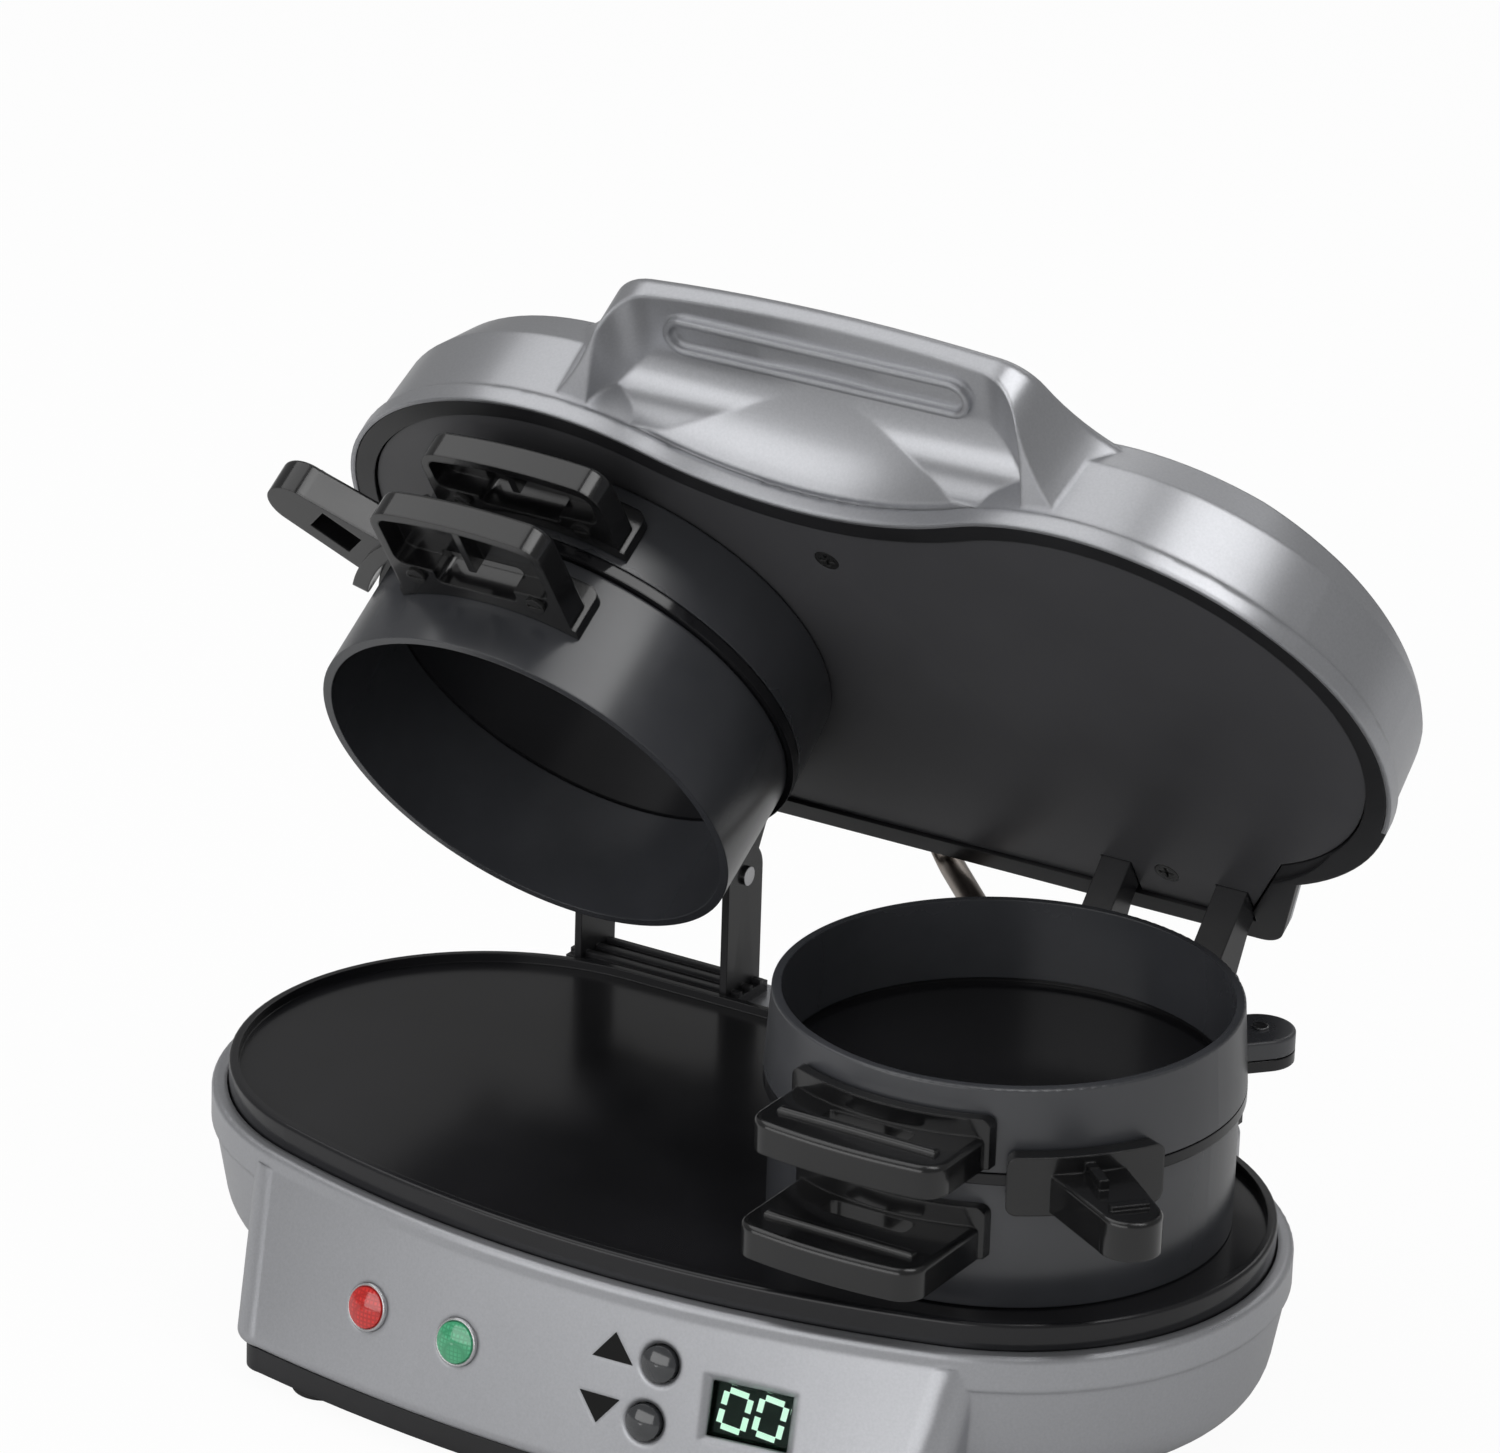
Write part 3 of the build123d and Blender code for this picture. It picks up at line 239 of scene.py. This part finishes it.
key_grey, _, _ = finish_material(
    "dark grey key", (0.030, 0.032, 0.035), (0.042, 0.044, 0.048), (0.14, 0.20),
    grain=1500.0, mottle=150.0, bump=0.05, coat=1.0, coat_rough=0.05, wear=0.05)
mark_ink, _, _ = finish_material(
    "black mark", (0.005, 0.005, 0.005), (0.009, 0.009, 0.009), (0.60, 0.72),
    grain=1500.0, level=0.15, round_edge=0.0)


FACETS_PER_METRE = 900.0
FACET_DEPTH = 0.0003
LENS_GLOW = 0.35
DIGIT_GLOW = 1.3


def lens_material(name, deep, bright):
    """Clear coloured lens: small pyramid facets inside, a glow and a hard gloss."""
    material, tree, shader = new_material(name)
    place = tree.nodes.new("ShaderNodeTexCoord")
    facets = tree.nodes.new("ShaderNodeTexVoronoi")
    facets.distance = "CHEBYCHEV"
    facets.inputs["Scale"].default_value = FACETS_PER_METRE
    facets.inputs["Randomness"].default_value = 0.0
    link(tree, place.outputs["Object"], facets.inputs["Vector"])
    shine = tree.nodes.new("ShaderNodeMapRange")
    shine.inputs["From Max"].default_value = 0.6
    link(tree, facets.outputs["Distance"], shine.inputs["Value"])
    colour = two_colours(tree, shine.outputs["Result"], bright, deep)
    link(tree, colour, shader.inputs["Base Color"])
    link(tree, colour, shader.inputs["Emission Color"])
    shader.inputs["Emission Strength"].default_value = LENS_GLOW
    bumps = tree.nodes.new("ShaderNodeBump")
    bumps.inputs["Strength"].default_value = 0.25
    bumps.inputs["Distance"].default_value = FACET_DEPTH
    bumps.invert = True
    link(tree, facets.outputs["Distance"], bumps.inputs["Height"])
    link(tree, bumps.outputs["Normal"], shader.inputs["Normal"])
    shader.inputs["Roughness"].default_value = 0.14
    shader.inputs["Coat Weight"].default_value = 1.0
    shader.inputs["Coat Roughness"].default_value = 0.05
    return material


red_lens = lens_material("red lens", (0.26, 0.006, 0.004), (0.60, 0.022, 0.018))
green_lens = lens_material("green lens", (0.02, 0.18, 0.08), (0.07, 0.40, 0.20))


def window_material():
    """Thin smoked pane over the digits."""
    material, tree, shader = new_material("display window")
    shader.inputs["Base Color"].default_value = (0.5, 0.62, 0.56, 1.0)
    shader.inputs["Transmission Weight"].default_value = 1.0
    shader.inputs["IOR"].default_value = 1.1
    detail = group_node(tree, surface_group, Grain_Scale=1500.0, Mottle_Scale=60.0,
                        Wear=0.0)
    link(tree, spread(tree, detail.outputs["Mottle"], 0.02, 0.06),
         shader.inputs["Roughness"])
    return material


def digit_material():
    """Lit bar, a little uneven in colour."""
    material, tree, shader = new_material("lit digit bar")
    detail = group_node(tree, surface_group, Grain_Scale=1500.0, Mottle_Scale=300.0,
                        Wear=0.0)
    colour = two_colours(tree, spread(tree, detail.outputs["Mottle"], 0.0, 1.0),
                         (0.74, 0.98, 0.82), (0.86, 1.0, 0.90))
    link(tree, colour, shader.inputs["Base Color"])
    link(tree, colour, shader.inputs["Emission Color"])
    shader.inputs["Emission Strength"].default_value = DIGIT_GLOW
    shader.inputs["Roughness"].default_value = 0.4
    return material


MATERIALS = {
    "silver_paint": silver, "black_moulding": satin_black, "handle_black": handle_black,
    "ring_coating": ring_black, "nonstick_coating": nonstick, "hinge_black": hinge_black,
    "steel": steel, "fastener_steel": plain_steel, "dark_screw": dark_steel,
    "heater_sheath": heater_steel, "thermostat_body": pale_moulding,
    "foot_rubber": rubber, "board_green": board_green,
    "component_black": component_black, "lamp_clear": clear_resin, "red_lens": red_lens,
    "green_lens": green_lens, "bezel_pale": bezel, "key_grey": key_grey,
    "mark_black": mark_ink, "window_dark": window_material(),
    "digit_light": digit_material(),
}


OWN_FINISH = {"top_heating_plate": top_coating}      # duller than the lower plate


def dress_nodes():
    slots = {entry["node"]: entry["material_slot"]
             for entry in frame["record"]["subparts"]}
    for name, piece in nodes.items():
        for place in piece.material_slots:
            place.material = OWN_FINISH.get(name, MATERIALS[slots[name]])


# ---- stage --------------------------------------------------------------
FLOOR_HALF = 4.0             # metres
FLOOR_DROP = 0.0002
FLOOR_SEEN = 0.90            # the floor's colour in the picture
FLOOR_BOUNCE = 0.66          # and in reflections and bounced light
FLOOR_GLOW = 0.95            # share of plain white that the camera adds to it
ROOM_FILL = 0.45
ROOM_MIRRORED = 0.22         # the room as the glossy finishes see it
MIDDLE = (0.0, 0.0, 0.12)    # what the softboxes aim at


def add_floor():
    """Pale plain floor: near white to the camera, greyer in reflections."""
    mesh = bpy.data.meshes.new("floor")
    half = FLOOR_HALF
    mesh.from_pydata([(-half, -half, 0), (half, -half, 0), (half, half, 0),
                      (-half, half, 0)], [], [(0, 1, 2, 3)])
    floor = bpy.data.objects.new("floor", mesh)
    floor.location.z = -FLOOR_DROP
    scene.collection.objects.link(floor)
    material, tree, shader = new_material("floor")
    path = tree.nodes.new("ShaderNodeLightPath")
    colour = two_colours(tree, path.outputs["Is Camera Ray"], (FLOOR_BOUNCE,) * 3,
                         (FLOOR_SEEN,) * 3)
    link(tree, colour, shader.inputs["Base Color"])
    shader.inputs["Roughness"].default_value = 0.9
    glow = tree.nodes.new("ShaderNodeEmission")
    glow.inputs["Color"].default_value = (1.0, 1.0, 1.0, 1.0)
    share = tree.nodes.new("ShaderNodeMath")
    share.operation = "MULTIPLY"
    share.inputs[1].default_value = FLOOR_GLOW
    blend = tree.nodes.new("ShaderNodeMixShader")
    out = tree.nodes["Material Output"]
    link(tree, path.outputs["Is Camera Ray"], share.inputs[0])
    link(tree, share.outputs["Value"], blend.inputs["Fac"])
    link(tree, shader.outputs["BSDF"], blend.inputs[1])
    link(tree, glow.outputs["Emission"], blend.inputs[2])
    link(tree, blend.outputs["Shader"], out.inputs["Surface"])
    mesh.materials.append(material)


def set_world():
    """White to the camera, dimmer as light and in reflections."""
    world = bpy.data.worlds.new("studio")
    scene.world = world
    world.use_nodes = True
    tree = world.node_tree
    room = tree.nodes["Background"]
    room.inputs["Color"].default_value = (1.0, 1.0, 1.0, 1.0)
    path = tree.nodes.new("ShaderNodeLightPath")
    room_level = tree.nodes.new("ShaderNodeMapRange")
    room_level.inputs["To Min"].default_value = ROOM_FILL
    room_level.inputs["To Max"].default_value = ROOM_MIRRORED
    seen = tree.nodes.new("ShaderNodeMath")
    seen.operation = "MAXIMUM"
    link(tree, path.outputs["Is Glossy Ray"], room_level.inputs["Value"])
    link(tree, room_level.outputs["Result"], seen.inputs[0])
    link(tree, path.outputs["Is Camera Ray"], seen.inputs[1])
    link(tree, seen.outputs["Value"], room.inputs["Strength"])


def add_light(name, spot, size, brightness):
    """A softbox; brightness is how bright its face looks, where 1 is paper white."""
    data = bpy.data.lights.new(name, "AREA")
    data.shape = "RECTANGLE"
    data.size, data.size_y = size
    data.energy = brightness * math.pi * size[0] * size[1]
    light = bpy.data.objects.new(name, data)
    direction = Vector(MIDDLE) - Vector(spot)
    light.matrix_world = (Matrix.Translation(spot)
                          @ direction.to_track_quat("-Z", "Y").to_matrix().to_4x4())
    scene.collection.objects.link(light)


def add_lights():
    add_light("top softbox", (-0.6, -0.1, 1.45), (1.3, 1.2), 1.0)
    add_light("hot softbox", (0.62, 0.05, 1.5), (0.45, 0.9), 3.0)
    add_light("front softbox", (-0.35, -1.8, 0.62), (2.2, 1.0), 1.7)
    add_light("back softbox", (-0.3, 1.6, 1.2), (1.2, 0.4), 1.0)


add_camera()
dress_nodes()
add_floor()
set_world()
add_lights()
scene.view_settings.view_transform = "Standard"
